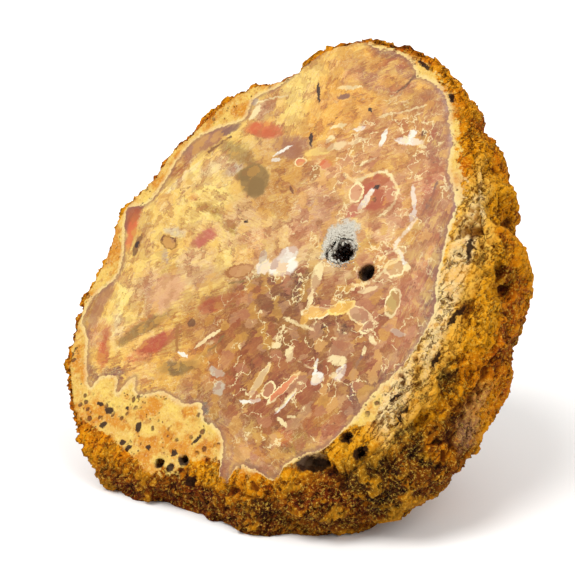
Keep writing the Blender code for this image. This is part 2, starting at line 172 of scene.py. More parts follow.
# Soft washes of colour on the face: colour, right, up, half width, half height, turn, strength
WASHES = [
    ("straw", -40, 0, 42, 62, 0, 1), ("brown", 14, -30, 40, 30, 18, 1),
    ("honey", 5, 55, 34, 26, 0, 0.9), ("tan", 32, 38, 20, 22, 0, 0.9), ("pink", 46, 5, 14, 34, 0, 0.8),
    ("brown", 34, -46, 18, 22, -20, 0.8), ("beige", -6, 8, 22, 14, -10, 0.8),
    ("blush", 12, 24, 15, 16, 0, 0.9), ("honey", -22, -44, 20, 9, 12, 0.9),
    ("butter", -14, 58, 8, 15, 0, 1), ("honey", -3, 62, 6, 14, -8, 0.7),
    ("honey", -4, 75, 12, 5, 10, 0.8), ("butter", -38, 18, 12, 12, 30, 0.9),
    ("cream", -34, 31, 12, 3, 35, 0.7), ("butter", -54, -32, 5, 14, 12, 1),
    ("cream", -52, -37, 2.5, 7, 22, 0.9), ("beige", -44, -20, 9, 9, 0, 0.9),
    ("beige", -30, -9, 9, 8, 20, 1), ("butter", -15, -5, 8, 6, 10, 0.9),
    ("straw", -55, 12, 8, 18, -10, 0.8), ("straw", -27, 42, 16, 9, 10, 0.6),
    ("olive", 10, -26, 17, 7, 14, 0.8), ("umber", 11, -13, 12, 5, 20, 0.5),
    ("brick", 22, -42, 12, 9, 20, 0.8), ("brick", 14, -36, 6, 4, 0, 0.7),
    ("coral", -15, -20, 7, 2.6, 22, 0.9), ("coral", -5, -14.5, 6, 2.4, 32, 0.8),
    ("honey", -10, -17, 9, 2.2, 30, 0.6), ("ochre", -5, 25, 8, 10, 0, 0.8),
    ("ochre", -8, 16, 9, 3, -10, 0.8), ("tan", 20, 44, 16, 6, 5, 0.5), ("olive", 27, 60, 6, 4, 10, 0.7),
    ("mauve", 39, 59, 7, 9, -20, 1), ("mauve", 45, 47, 5, 9, 10, 1), ("mauve", 17, 67, 12, 6.5, -12, 1),
    ("brick", 17, 74, 9, 3.2, -14, 0.8), ("honey", 11, 71.5, 4, 3, 0, 0.8),
    ("honey", 21, 65.5, 6, 3, -8, 0.7), ("blush", 4, 66, 4, 4, 0, 0.7),
    ("plum", 15, 75, 5, 1.5, -10, 0.6), ("coral", -23, 43, 8, 3.2, -4, 0.9),
    ("mauve", -9, 38.5, 8, 4.5, -10, 0.9), ("mauve", -26, 51, 4.5, 4, 30, 0.9),
    ("red", -26, 43.5, 3, 2, 0, 0.6), ("mauve", -45, 37, 9, 3, 40, 1),
    ("plum", -38, 42, 4, 1.8, 28, 0.9), ("brick", -53, 26, 2.6, 6.5, -32, 0.8),
    ("mauve", -50, 32, 3, 6, -32, 0.7), ("brick", -66, 5, 3.6, 5, 0, 1),
    ("coral", -63.5, 1, 2.3, 7.5, 6, 0.9), ("umber", -66, 8.5, 3, 2.4, 10, 0.7),
    ("brown", -62, -14, 2, 5, -6, 0.6), ("brown", -66.5, -30, 2, 7, -8, 0.9),
    ("olive", -65, -36, 3, 3, 0, 0.8), ("pink", -60, -39, 5, 5, 30, 0.7),
    ("coral", -56.5, -42, 1.6, 7, 10, 0.9), ("coral", -53.5, -47, 1.5, 4, 20, 0.6),
    ("ochre", -42, -32, 10, 3.2, 40, 0.9), ("olive", -45, -36, 7, 2.2, 38, 0.8),
    ("ochre", -30, -28, 8, 2.6, 18, 0.7), ("red", -34, -37, 7.5, 2.9, 34, 1),
    ("rose", -30, -33.5, 5, 1.8, 36, 1), ("coral", -38, -42, 7, 3, 32, 0.8),
    ("brown", -27, -34, 1.8, 5.5, 18, 0.7), ("olive", -22, -43.5, 6, 2.2, 14, 1),
    ("moss", -24, -44, 3.4, 1.5, 8, 0.9), ("olive", -14, -38.5, 7, 1.4, 38, 0.9),
    ("ochre", 0, -36, 8, 3, 25, 0.6), ("brown", -6, -51, 12, 4, -4, 0.9),
    ("coral", -3, -44, 5, 2, 10, 0.6), ("brick", 7, -43, 5, 4, 20, 0.5),
    ("ochre", 36, -46, 6, 8, -12, 0.9), ("moss", 31, -45, 2, 8, -10, 0.6),
    ("olive", 32, -58, 6, 3, 12, 0.8), ("pink", 42, -51, 3.5, 6, -34, 0.9),
    ("pink", 54, -12, 5.5, 13, 6, 1), ("plum", 58, 15, 2.6, 24, 0, 0.8),
    ("mauve", 51, 23, 5, 12, 0, 0.9), ("rose", 48, 31, 3, 4, -20, 0.5),
    ("plum", 60.5, -8, 2, 10, -4, 0.9), ("plum", 52, -31, 2.2, 8, -20, 0.9),
    ("plum", 46.5, -40, 2, 7, -18, 0.8), ("brown", 48, 10, 4, 9, 0, 0.5),
    ("ochre", 47, 15, 3, 5, 8, 0.8), ("blush", 37, 14, 6, 6, 0, 0.8),
    ("honey", 33, 8, 3.5, 2.6, 0, 0.8), ("brown", 15, 14, 4, 4, 0, 0.5),
    ("tan", 25, -7, 5.5, 4.6, 0, 1), ("umber", 12, -6, 4.5, 3.4, -10, 0.8),
    ("brown", 21, -13.5, 6, 2, 18, 0.8), ("umber", 31, -20, 8, 1.7, 5, 0.9),
    ("brick", 45, -12, 4, 4, 0, 0.7), ("brown", 41, -4, 6, 3, 35, 0.5),
    ("plum", 20, -66.5, 11, 2.2, -10, 0.7), ("honey", 14, -62.5, 13, 1.4, -8, 0.8),
    ("brown", 12, -59.5, 13, 1.6, -4, 0.7), ("blush", 19, -65, 9, 1, -14, 0.8),
    ("coral", 26, -57, 4, 3, 0, 0.6), ("mauve", 10, -73, 2.4, 7, -4, 0.9),
    ("blush", -40, -19, 9, 8, 20, 0.9), ("mauve", -44.5, -22, 2.2, 7, 20, 0.7),
    ("coral", -11, 1, 5, 8, -30, 0.35), ("pink", 7, 9, 6, 4, 0, 0.6), ("mauve", 9, 20, 5, 4, 0, 0.5),
    ("grey", -29, 28, 3.6, 2.6, 30, 0.8), ("olive", -30, 34.5, 8, 3.4, -18, 0.7),
    ("rose", -31, 2, 4.5, 2.4, 35, 0.9), ("grey", -44, 2, 5, 1.8, -4, 0.7),
    ("tan", -12, -9, 4.8, 2.6, 18, 0.9), ("olive", -25, 8.5, 8, 1.4, -25, 0.9),
    ("olive", -33, 12, 7, 1.4, -12, 0.8), ("grey", -45, -6.5, 4, 0.9, -48, 0.8),
    ("brown", -46.7, -26, 1, 5.5, 9, 0.9), ("olive", -40, -11, 5, 1.2, 28, 0.6),
    ("tan", -28, -21.5, 4.2, 4.2, 30, 0.6), ("brown", -55, 21, 1, 7, -28, 0.6),
    ("cream", -50, 22, 1.2, 9, -35, 0.7), ("brown", -57.5, 3, 1, 9, 4, 0.5),
    ("coral", -42, 16, 2, 1.6, 0, 0.5), ("plum", -55, -53, 5, 1.8, -44, 1),
    ("plum", -47, -50.5, 5, 1.8, 8, 1), ("cream", 12, 1, 6, 4, 0, 0.8),
    ("cream", 24, -1.5, 7, 2.2, -10, 0.9), ("plum", -42.5, -53.5, 1.2, 3, 10, 0.9),
    ("slate", -6, -54, 3.4, 1.8, -30, 1), ("umber", 2, -56.5, 5, 1.4, -16, 0.8),
]

# Stains drawn over the washes: colour, right, up, half width, half height, turn, strength
STAINS = [
    ("red", -34, -37, 7.5, 2.8, 34, 0.8), ("mauve", -45, 37.5, 10, 3, 40, 0.85),
    ("plum", -38, 42, 4.5, 1.7, 28, 0.8), ("coral", -23.5, 43.5, 7, 3, -4, 0.8),
    ("brick", -66, 5, 3.4, 5.5, 0, 0.85), ("coral", -63.5, 0, 2, 6, 6, 0.8),
    ("mauve", -9, 38.5, 7.5, 4, -10, 0.7), ("moss", -42, -33, 11, 2.2, 40, 0.7),
    ("moss", -21, -43.5, 8, 2.4, 14, 0.7), ("brick", -15, -19.5, 8, 2.4, 24, 0.7),
    ("rose", -31, 2, 5, 2.6, 35, 0.7), ("blush", -38, -19, 7, 6, 25, 0.7),
    ("mauve", -24, -11, 8, 3.5, 20, 0.4), ("moss", -31, 34, 9, 2.4, -18, 0.5),
    ("mauve", -64, -28, 2.6, 10, -8, 0.7), ("red", -55, -42, 2.2, 7, 12, 0.6),
]

# How far the nearness to an ellipse reaches, in shares of its size, and a depth that leaves none out
FRAGMENT_REACH = 1.5
PIT_REACH = 1.4
PATCH_REACH = 1.4
ANY_DEPTH = 1000

# Crisp fragments on the face: fill, outline or None, right, up, half width, half height, turn
FRAGMENTS = [
    ("moss", None, -19.5, 25.2, 6.6, 5.2, -30), ("moss", None, -23.4, 26.6, 4.2, 2.6, 20),
    ("moss", None, -17.4, 22.4, 4, 3.2, -60), ("white", None, 4.6, 0.9, 3.8, 2.8, 40),
    ("tan", "brown", -11.6, -7.2, 4.6, 1.9, 20), ("tan", "umber", -45, -2, 3.2, 1.7, -15),
    ("umber", None, -23, -28, 1.6, 1.3, 0), ("umber", None, -58.4, -5, 1.3, 4, 0),
    ("white", None, 4.2, -3.2, 5.4, 3.2, 14), ("white", None, -3.2, -4.4, 2.5, 2.8, -20),
    ("grey", None, -4.8, -1.2, 1.4, 2.4, 0), ("cream", None, 18.2, -4.5, 1.9, 4.4, 4),
    ("cream", None, 18.8, -12, 0.9, 3.4, 6), ("mauve", "cream", 38.3, -14.4, 4.6, 1.9, -20),
    ("mauve", "cream", 42.6, -17.4, 1.5, 2.6, -30), ("honey", "cream", 22.4, -16, 4.4, 1.7, 12),
    ("honey", "butter", 31, -13, 4, 1.7, 28), ("honey", None, 19.5, -19, 1.2, 2.2, 0),
    ("brick", "cream", 15.6, -43.6, 1.9, 2.3, -10), ("grey", "cream", 11, -41, 1.1, 5.2, -14),
    ("coral", "cream", 20.4, -42, 1.1, 5.8, -32), ("white", None, 10, -48.4, 3.6, 0.7, 20),
    ("white", None, 23.2, -46, 0.5, 4.6, -26), ("cream", None, 27.2, -50, 1.7, 0.6, 5),
    ("cream", None, 24.6, -52.2, 2.2, 0.8, -30), ("cream", None, 35.6, -29.4, 3.4, 1.5, 8),
    ("white", None, 38.4, -33, 1.5, 3, -12), ("cream", None, 36, -34.5, 1.6, 1, 20),
    ("white", None, 31.2, -36.4, 1.8, 2.2, -30), ("cream", None, 18.4, -31, 1.5, 2.4, 10),
    ("cream", None, 12.2, -29, 2, 1.1, 0), ("cream", None, 11.8, -26.6, 1.6, 0.5, 10),
    ("grey", None, 53, -17.2, 2.8, 0.9, -12), ("cream", None, 45.4, -21, 2.2, 1, -38),
    ("cream", None, 43.8, -25, 0.5, 1.7, 0), ("cream", None, 38, -6, 3.2, 0.9, 26),
    ("olive", "cream", 48, -8.4, 2.1, 3.8, 6), ("grey", None, -6, -42, 3.3, 1.3, -8),
    ("grey", None, -3, -47, 2, 2.4, 20), ("white", None, -22, -38.8, 2.3, 0.5, -8),
    ("cream", None, -15.6, -33, 0.6, 3.8, -36), ("cream", None, -13, -30.2, 3.4, 0.7, 36),
    ("white", None, 24.4, 45.4, 0.9, 3.2, -4), ("white", None, 14.2, 47.6, 2.5, 0.8, 14),
    ("white", None, 34.4, 45.2, 5.2, 1.2, 2), ("white", None, 34.6, 47.3, 1.5, 1.6, 0),
    ("cream", None, 40, 44, 1.7, 0.7, -10), ("cream", None, 15.5, 43.4, 3.8, 0.7, 22),
    ("cream", None, 4.6, 43, 1.7, 1.2, 30), ("cream", None, 8, 40.6, 3.3, 1.4, 20),
    ("butter", None, 1.6, 37.8, 4.6, 1.5, 16), ("cream", None, 22, 36.8, 3, 0.5, 30),
    ("cream", None, 6, 47.8, 3, 0.7, 20), ("cream", None, 22.4, 53.4, 1.2, 0.5, 10),
    ("red", None, 28.6, 26.4, 7, 6, -10), ("pink", "cream", 21.6, 25.6, 2.2, 3, 10),
    ("rose", None, 22.8, 18.8, 2.3, 2.3, 0), ("white", None, 26.2, 23.6, 1.3, 4.2, -18),
    # The near-black fragment at 28.6, 28.3 is painted shade in the hole that lies there.
    ("dark", None, 28.6, 28.3, 1.1, 0.7, 10), ("umber", None, 29.3, 24, 0.8, 0.8, 0),
    ("coral", "cream", -3.7, 33.4, 1.8, 1.5, 0), ("coral", None, 6.5, 34, 2.4, 1.4, 10),
    ("brown", None, 3.4, 30.4, 1.6, 3, 10), ("white", None, -13.6, 33.4, 1.7, 0.8, 10),
    ("white", None, -12.3, 37, 0.5, 3.4, -50), ("white", None, 42.8, 26, 0.8, 4.2, 24),
    ("white", None, 44.6, 20.5, 1.1, 2.2, 0), ("cream", None, 48.2, 3.8, 2, 1, -40),
    ("tan", "cream", 44.4, 8.8, 2, 1.1, 0), ("tan", "cream", 44.6, 2.8, 3, 2.6, 20),
    ("umber", None, 38.6, 48, 1, 1.6, 0), ("cream", None, 25.8, 19.6, 1.2, 0.8, 0),
    ("cream", None, -29.6, 49.4, 1.2, 3, -20), ("grey", None, -32.4, 54, 2.4, 1.6, -30),
    ("white", None, -14.6, -66, 0.8, 4, 34), ("umber", None, -3, 23.4, 0.6, 1.8, 40),
    ("plum", None, 3.8, 58.6, 2.2, 1, 10), ("cream", None, 5, 62.2, 4.6, 0.6, 8),
]

# Veins on the face: colour, half width, points
VEINS = [
    ("cream", 0.35, [(-30, 53.5), (-25, 55.5), (-19, 57)]),
    ("cream", 0.3, [(20, 52.5), (31, 56), (36, 58)]),
    ("cream", 0.5, [(15, 31), (20, 29.5), (24, 32), (30, 34), (33, 31.5), (36.5, 28.5), (37, 23),
                    (33, 19)]),
    ("white", 0.55, [(46.5, 19.5), (43, 12.5), (42, 9.5), (45.5, 7), (47.5, 4.5)]),
    ("cream", 0.4, [(38.5, 4.5), (43, 9)]),
    ("cream", 0.4, [(40, -1), (42, 3), (45.5, 6)]),
    ("cream", 0.45, [(12, -19.5), (16, -20.5), (20.5, -21.5), (24, -21.5)]),
    ("cream", 0.4, [(32, -5), (35, -5), (39, -2.5), (40, 0)]),
    ("white", 0.6, [(29, -31), (29.5, -34), (30, -38)]),
    ("cream", 0.3, [(24, -33), (29.5, -33.5)]),
    ("cream", 0.35, [(25, -41.5), (21, -49)]),
    ("umber", 0.5, [(-43, 33), (-40, 36), (-36, 39.5)]),
    ("umber", 0.5, [(28.3, 69), (26.8, 65.5), (24, 62)]),
    ("moss", 0.4, [(-14, -12), (-10, -11), (-5, -8.2), (-1, -7)]),
    ("brown", 0.5, [(-28.5, -30), (-25, -38)]),
    ("moss", 0.4, [(-12, -36), (-8.5, -30)]),
    ("plum", 0.45, [(47.5, 21), (49, 26), (49, 32)]),
    ("plum", 0.5, [(43.5, -27), (43, -33), (45.5, -41)]),
]

# Where the face is broken into chips and threads: right, up, half width, half height, turn
BROKEN = [(26, -22, 40, 46, 0), (28, 30, 30, 30, 0)]

# Length, width and depth of a streak of the grain
STREAK_SIZE = (7.0, 0.85, 4.0)

# The grain's direction on the face: its angle, and the ellipses where it runs that way. The first is
# the rest of the face.
GRAIN = [
    (26, []),
    (84, [(-12, 62, 14, 22, 0), (-64, -10, 12, 44, 0), (57, 0, 10, 50, 0), (42, 52, 8, 14, 0)]),
    (51, [(-45, 28, 14, 26, -40), (15, -42, 30, 18, 0)]),
    (-14, [(-24, 8, 24, 12, -10), (18, -64, 24, 8, -8)]),
]

# Large tints that the heartwood's colours are multiplied by: linear colour, right, up, half width,
# half height, turn, strength
TINTS = [
    ((0.62, 0.42, 0.27), 22, -28, 38, 28, 12, 1), ((1.0, 0.86, 0.66), 18, 54, 30, 24, 0, 0.9),
    ((1.0, 0.78, 0.42), -10, -32, 14, 11, 10, 0.7), ((0.75, 0.66, 0.7), 4, -11, 15, 6, 10, 0.9),
    ((0.8, 0.7, 0.7), -16, 28, 13, 18, 0, 0.8), ((0.9, 0.72, 0.6), 56, 30, 8, 26, 8, 0.7),
    ((0.82, 0.68, 0.74), 16, -68, 20, 8, 0, 0.8), ((1.0, 0.9, 0.7), -50, -46, 16, 10, 30, 0.7),
    ((0.85, 0.76, 0.85), 12, 16, 9, 8, 0, 0.8),
]

# The sugary quartz round the larger pocket's mouth: right, up, half width, half height, turn
POCKET_HALO = (22.6, 8.0, 5.4, 6.6, 0)
POCKET_MIDDLE = Vector((24.0, 5.2, -4.0))

# The ring of crystals round the pocket's mouth: its radius, give or take, and its depth in the face
MOUTH_RADIUS = 5.3
MOUTH_SPREAD = 0.4
MOUTH_DEPTH = 0.4

# Shares of a crystal's length: its radius, its shaft, its point, and the root that is sunk in the crust
CRYSTAL_RADIUS = 0.32
CRYSTAL_SHAFT = 0.7
CRYSTAL_POINT = 0.35
CRYSTAL_ROOT = 0.05

# The crystals' sizes in the pocket and round its mouth, where 1 is usual, and how much they lean
POCKET_SIZES = (0.5, 1.2)
MOUTH_SIZES = (0.3, 0.6)
CRYSTAL_LEAN = 0.35

# Holes in the face, painted dark as painted shade of their insides: right, up, half width, half height,
# turn
PITS = [
    (35.3, -0.3, 2.6, 2.9, -20), (-6.6, 59.3, 0.6, 4.4, 24), (-2.7, 41.8, 0.6, 2.4, 20),
    (15.9, 54.7, 0.7, 0.8, 0), (-16.5, 10.1, 0.6, 0.6, 0), (-43.5, -63.2, 1.7, 1.4, 0),
    (-43.4, -68.2, 1.5, 1.2, 20), (-28.8, -66, 1.1, 1.8, 15), (-32.7, -72.3, 1.0, 1.2, 0),
    (-29.7, -73.4, 1.2, 1.0, 30), (-15.5, -75.2, 2.0, 1.5, 10), (-10.6, -75.4, 1.3, 1.4, 0),
    (-6.7, -72.2, 2.0, 1.5, -10), (-2.2, -77.4, 2.4, 1.3, 20), (-4.5, -64.4, 0.8, 2.0, -35),
    (-11, -70.7, 1.3, 0.9, 0), (-21.8, -71.2, 1.0, 0.9, 0), (38.5, -62, 4.6, 2.4, 28),
    (47.8, -52, 2.2, 1.8, 30), (53.6, -54.8, 1.6, 2.6, -40), (62.4, -41.2, 0.8, 3.8, -14),
    (58.6, -36.5, 0.5, 2.2, -30), (67.2, -22.4, 0.7, 2.6, -16), (69, -8.2, 0.7, 4.4, -14),
    (66.6, 13, 0.8, 4.4, 18), (43.4, 62, 0.9, 1.8, 25), (29.6, 72.6, 3.2, 0.6, -27),
    (-58.4, -5, 0.8, 1.4, 0), (-48, -62, 1.0, 0.7, 0), (-36, -61, 0.8, 0.7, 0),
    (28.6, 28.3, 0.9, 0.6, 10),
]

# The palest part of the rind: right, up, half width, half height, turn
PALE_RIND = (63, -2, 9, 52, 0)

# Where the rind is as crumbly as the bark: right, up, half width, half height, turn
CRUMBLY = [
    (-42, -78, 30, 7, -14), (8, -80, 17, 11, 0), (34, -73, 18, 9, 14), (53, -57, 13, 10, 38),
    (66, -28, 9, 26, -14), (70, 8, 10, 34, 8), (59, 50, 8, 20, 24),
]

# Patches of colour in the bark: colour, face-frame place, half sizes, strength. The near-black patches are
# painted shade in the recesses under the rim, and the large dark brown patches low on the bark are partly
# its own colour and partly painted shade of its lower side.
BARK_PATCHES_AND_SHADE = [
    ("umber", (62, -58, -14), (34, 24, 24), 0.8), ("umber", (0, -88, -8), (62, 12, 18), 0.9),
    ("honey", (70, 10, -4), (12, 60, 9), 0.85), ("honey", (70, 0, -5), (9, 46, 7), 0.8),
    ("ochre", (68, -34, -10), (12, 22, 10), 0.85), ("ochre", (56, -58, -2), (10, 10, 6), 0.8),
    ("straw", (66, 12, 0), (8, 52, 6), 0.95), ("straw", (60, -34, 0), (10, 22, 6), 0.95),
    ("cream", (65, 8, 1), (4, 46, 4), 0.9), ("cream", (58, -36, 1), (6, 16, 4), 0.9),
    ("honey", (50, -54, 0), (10, 9, 4), 0.8), ("amber", (78, 30, -12), (6, 26, 8), 0.8),
    ("rust", (74, 22, -8), (4, 5, 6), 0.8), ("brown_and_shade", (77, 8, -10), (5, 4.5, 6), 0.9),
    ("honey", (75, -6, -5), (5, 9, 7), 0.8), ("amber", (78, -22, -8), (6, 6, 7), 0.8),
    ("painted_shade", (72, -28, -4), (2.5, 7, 4), 0.8), ("painted_shade", (65, -46, -5), (5, 4, 4), 0.8),
    ("umber", (74, -42, -12), (7, 9, 7), 0.7), ("grey", (79, -34, -18), (6, 12, 8), 0.2),
    ("slate", (80, -36, -20), (4, 8, 6), 0.3), ("umber", (70, -55, -11), (10, 8, 10), 0.85),
    ("painted_shade", (71, -50, -10), (9, 3, 7), 0.85), ("amber", (73, -47, -12), (5, 3, 6), 0.7),
    ("painted_shade", (60, -62, -4), (12, 9, 8), 0.85), ("painted_shade", (66, -68, -12), (12, 4, 8), 0.8),
    ("honey", (32, -71, 1), (10, 4, 3), 0.6), ("brown_and_shade", (46, -72, -4), (18, 5, 8), 0.9),
    ("brown_and_shade", (36, -77, -3), (9, 3, 4), 0.8), ("painted_shade", (26, -79, -3), (6, 3, 5), 0.8),
    ("honey", (6, -74, 0), (12, 4, 4), 0.6), ("rust", (46, -82, -8), (14, 4, 6), 0.6),
    ("brown_and_shade", (-14, -87, -6), (32, 4, 6), 0.7), ("brown_and_shade", (0, -80, -2), (7, 2, 3), 0.7),
    ("painted_shade", (54, -76, -8), (14, 3.5, 6), 0.7), ("umber", (40, -82, -14), (34, 12, 12), 0.7),
]


def colour_setting(name, value, description):
    return bpy.props.FloatVectorProperty(
        name=name, description=description, default=value, subtype="COLOR", size=3, min=0, max=1)


def length_setting(name, value, description):
    return bpy.props.FloatProperty(
        name=name, description=description, default=value * MM, min=0.0001, unit="LENGTH")


def amount_setting(name, value, description):
    return bpy.props.FloatProperty(name=name, description=description, default=value, min=0)


class StoneSettings(bpy.types.PropertyGroup):
    detail: length_setting("Detail", 0.84, "Size of the smallest form of the stone's mesh")
    knob_height: length_setting("Knob height", 1.0, "How far the crumbly knobs of the bark stand out")
    pore_depth: length_setting("Pore depth", 1.9, "How deep the pores of the bark go")


class CrustSettings(bpy.types.PropertyGroup):
    crystal_length: length_setting("Crystal length", 1.3, "Length of a crystal of the usual size")
    crystal_count: bpy.props.IntProperty(
        name="Crystals", description="How many crystals stand on the crust", default=230, min=1)


class StageSettings(bpy.types.PropertyGroup):
    floor_colour: colour_setting("Floor", (0.9, 0.89, 0.87), "Colour of the floor")
    sky: amount_setting("Room light", 0.8, "Strength of the even light of the room")
    key: amount_setting("Key light", 2.2, "Strength of the large soft light at the upper left")
    fill: amount_setting("Fill light", 0.9, "Strength of the soft light at the right")


class Value:
    """An output of a node. Sums and products of values add Math nodes."""

    def __init__(self, graph, socket):
        self.graph = graph
        self.socket = socket

    def __add__(self, other):
        return self.graph.maths("ADD", self, other)

    def __sub__(self, other):
        return self.graph.maths("SUBTRACT", self, other)

    def __rsub__(self, other):
        return self.graph.maths("SUBTRACT", other, self)

    def __mul__(self, other):
        return self.graph.maths("MULTIPLY", self, other)

    def __abs__(self):
        return self.graph.maths("ABSOLUTE", self, 0)


class Graph:
    """The nodes of one material."""

    def __init__(self, name):
        self.material = bpy.data.materials.new(name)
        self.material.use_nodes = True
        self.tree = self.material.node_tree
        self.tree.nodes.remove(self.tree.nodes["Principled BSDF"])
        self.output = self.tree.nodes["Material Output"]

    def add(self, kind, settings, values, output=0):
        node = self.tree.nodes.new(kind)
        for name, setting in settings.items():
            setattr(node, name, setting)
        for name, value in values.items():
            self.put(node.inputs[name], value)
        return Value(self, node.outputs[output])

    def put(self, socket, value):
        if isinstance(value, Value):
            self.tree.links.new(value.socket, socket)
        elif socket.type == "RGBA":
            socket.default_value = (*value, 1)
        else:
            socket.default_value = value

    def surface(self, colour, roughness, specular, **others):
        values = {"Base Color": colour, "Roughness": roughness, "Specular IOR Level": specular}
        return self.add("ShaderNodeBsdfPrincipled", {}, {**values, **others})

    def finish(self, surface):
        self.put(self.output.inputs["Surface"], surface)
        return self.material

    def maths(self, operation, first, second):
        return self.add("ShaderNodeMath", {"operation": operation}, {0: first, 1: second})

    def vectors(self, operation, first, second):
        return self.add("ShaderNodeVectorMath", {"operation": operation}, {0: first, 1: second})

    def scaled(self, vector, amount):
        return self.add("ShaderNodeVectorMath", {"operation": "SCALE"}, {0: vector, "Scale": amount})

    def part(self, vector, axis):
        return self.add("ShaderNodeSeparateXYZ", {}, {0: vector}, axis)

    def attribute(self, name):
        return self.add("ShaderNodeAttribute", {"attribute_name": name}, {}, "Fac")

    def face_point(self):
        """The place on the piece as a face point, in millimetres."""
        here = self.add("ShaderNodeTexCoord", {}, {}, "Object")
        return self.local(here, FACE_MIDDLE, FACE_TURN, (MM,) * 3)

    def ball(self, place):
        """1 at the origin, falling evenly to 0 at a distance of 1."""
        return self.add("ShaderNodeTexGradient", {"gradient_type": "SPHERICAL"}, {"Vector": place}, 1)

    def local(self, point, place, turn, scale):
        """The point as seen from a place, turned and scaled as a shape there is."""
        return self.add("ShaderNodeMapping", {"vector_type": "TEXTURE"},
                        {"Vector": point, "Location": place, "Rotation": turn, "Scale": scale})

    def step(self, value, low, high):
        """0 below low, 1 above high, and smooth between them. Low may be the greater."""
        return self.add("ShaderNodeMapRange", {"interpolation_type": "SMOOTHSTEP", "clamp": False},
                        {"Value": value, "From Min": low, "From Max": high})

    def mix(self, share, first, second, blend="MIX"):
        return self.add("ShaderNodeMix", {"data_type": "RGBA", "blend_type": blend},
                        {0: share, 6: first, 7: second}, 2)

    def paint(self, colour, name, value, low, high, strength=1):
        """A named colour laid over another from low to high, at a strength."""
        share = self.step(value, low, high)
        if strength != 1:
            share = share * strength
        return self.mix(share, colour, look(name))

    def darken(self, colour, tint, value, low, high, strength):
        """A colour multiplied by a tint from low to high, at a strength."""
        return self.mix(self.step(value, low, high) * strength, colour, tint, "MULTIPLY")

    def join(self, share, first, second):
        """One surface laid over another."""
        return self.add("ShaderNodeMixShader", {}, {0: share, 1: first, 2: second})

    def bump(self, height):
        """A normal for a height in millimetres."""
        return self.add("ShaderNodeBump", {}, {"Height": height, "Distance": MM, "Strength": 1})

    def blend(self, share, first, second):
        return self.add("ShaderNodeMix", {"data_type": "FLOAT"}, {0: share, 2: first, 3: second})

    def noise(self, point, size, detail=2.0, roughness=0.5, output="Fac"):
        values = {"Vector": point, "Scale": 1 / size, "Detail": detail, "Roughness": roughness}
        return self.add("ShaderNodeTexNoise", {}, values, output)

    def cells(self, point, size, output="Distance"):
        values = {"Vector": point, "Scale": 1 / size, "Randomness": 1}
        return self.add("ShaderNodeTexVoronoi", {"feature": "F1"}, values, output)

    def warp(self, point, size, amount, detail=2.0, roughness=0.6):
        """The point shifted to and fro by noise of a size."""
        spread = self.noise(point, size, detail, roughness, "Color")
        shift = self.vectors("SUBTRACT", spread, (0.5,) * 3)
        return self.vectors("ADD", point, self.scaled(shift, 2 * amount))


def look(name):
    """The paint of a named colour, which looks as listed under the stage's light and faint shine."""
    steps = (step / 255 for step in LOOKS[name])
    seen = (s / 12.92 if s <= 0.04045 else ((s + 0.055) / 1.055) ** 2.4 for s in steps)
    return tuple(max(0.4 * part, part / LIGHT - HAZE) for part in seen)


def select_only(piece):
    """Leaves one object selected and active."""
    bpy.ops.object.select_all(action="DESELECT")
    piece.select_set(True)
    bpy.context.view_layer.objects.active = piece


def copy_of_node(node, name):
    """A copy of a CAD node as a piece of its own, with its doubles merged."""
    piece = bpy.data.objects.new(name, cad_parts[node].data.copy())
    bpy.context.scene.collection.objects.link(piece)
    piece.data.materials.clear()
    select_only(piece)
    bpy.ops.object.mode_set(mode="EDIT")
    bpy.ops.mesh.select_all(action="SELECT")
    bpy.ops.mesh.remove_doubles(threshold=1e-6)
    bpy.ops.object.mode_set(mode="OBJECT")
    return piece


def places(piece):
    """The vertices' places as an array."""
    flat = np.empty(len(piece.data.vertices) * 3)
    piece.data.vertices.foreach_get("co", flat)
    return flat.reshape(-1, 3)


def normals(piece):
    """The vertices' normals as an array."""
    flat = np.empty(len(piece.data.vertices) * 3)
    piece.data.vertex_normals.foreach_get("vector", flat)
    return flat.reshape(-1, 3)


def smooth_step(low, high, values):
    """0 below low, 1 above high, and smooth between them. Low may be the greater."""
    share = np.clip((values - low) / (high - low), 0, 1)
    return share * share * (3 - 2 * share)


def add_attribute(piece, name, values):
    """Keeps a number for each vertex, which a material can read."""
    layer = piece.data.attributes.new(name, "FLOAT", "POINT")
    layer.data.foreach_set("value", np.asarray(values, dtype=np.float32))


def remesh(piece, size):
    """Gives the piece an even mesh."""
    piece.data.remesh_voxel_size = size
    piece.data.use_remesh_preserve_volume = False
    select_only(piece)
    bpy.ops.object.voxel_remesh()


def thin_out_back(stone):
    """Fewer, larger faces on the back, which is plainer than the rest."""
    select_only(stone)
    middles = np.empty(len(stone.data.polygons) * 3)
    stone.data.polygons.foreach_get("center", middles)
    back = middles.reshape(-1, 3)[:, 1] > BACK_FROM * MM
    bpy.ops.object.mode_set(mode="EDIT")
    bpy.ops.mesh.select_mode(type="FACE")
    bpy.ops.mesh.select_all(action="DESELECT")
    bpy.ops.object.mode_set(mode="OBJECT")
    stone.data.polygons.foreach_set("select", back)
    bpy.ops.object.mode_set(mode="EDIT")
    bpy.ops.mesh.decimate(ratio=BACK_SHARE)
    bpy.ops.object.mode_set(mode="OBJECT")


def smooth_closed(points, count):
    """Points on a smooth closed curve through the given ones."""
    ring = np.array(points, dtype=float)
    before, after, beyond = np.roll(ring, 1, 0), np.roll(ring, -1, 0), np.roll(ring, -2, 0)
    rows = []
    for t in np.arange(count) / count:
        bend = (2 * before - 5 * ring + 4 * after - beyond) * t * t
        bend = bend + (3 * ring - before - 3 * after + beyond) * t ** 3
        rows.append(0.5 * (2 * ring + (after - before) * t + bend))
    return np.stack(rows, 1).reshape(-1, 2)


